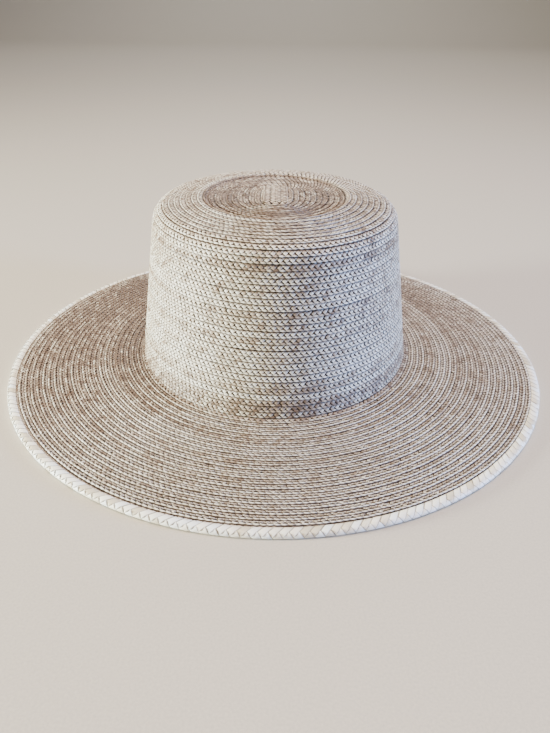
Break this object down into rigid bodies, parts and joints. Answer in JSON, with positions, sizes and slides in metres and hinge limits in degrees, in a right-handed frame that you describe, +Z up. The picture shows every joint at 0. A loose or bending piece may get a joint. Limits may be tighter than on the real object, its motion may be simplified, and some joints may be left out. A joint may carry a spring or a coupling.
{
  "type": "palm leaf hat",
  "caption": "Natural palm leaf hat sewn from plaited braid, with a tall oval flat-topped crown, a wide nearly flat brim and a plaited binding round the brim's edge.",
  "frame": {"origin": "on the surface that the hat stands on, under the middle of its brim", "axes": "+Z up, +Y towards the back of the hat along the long axis of its oval, +X to the right as the picture shows it"},
  "size_m": [0.352, 0.3692, 0.1108],
  "materials": {
    "palm_braid_crown": "natural plaited palm leaf, satin",
    "palm_braid_brim": "natural plaited palm leaf, satin",
    "palm_binding": "pale plaited palm leaf, satin",
    "palm_braid_start": "natural plaited palm leaf, satin"
  },
  "bodies": {
    "root": {"crown": "palm_braid_crown", "brim": "palm_braid_brim", "edge_binding": "palm_binding", "braid_start": "palm_braid_start"}
  },
  "joints": []
}
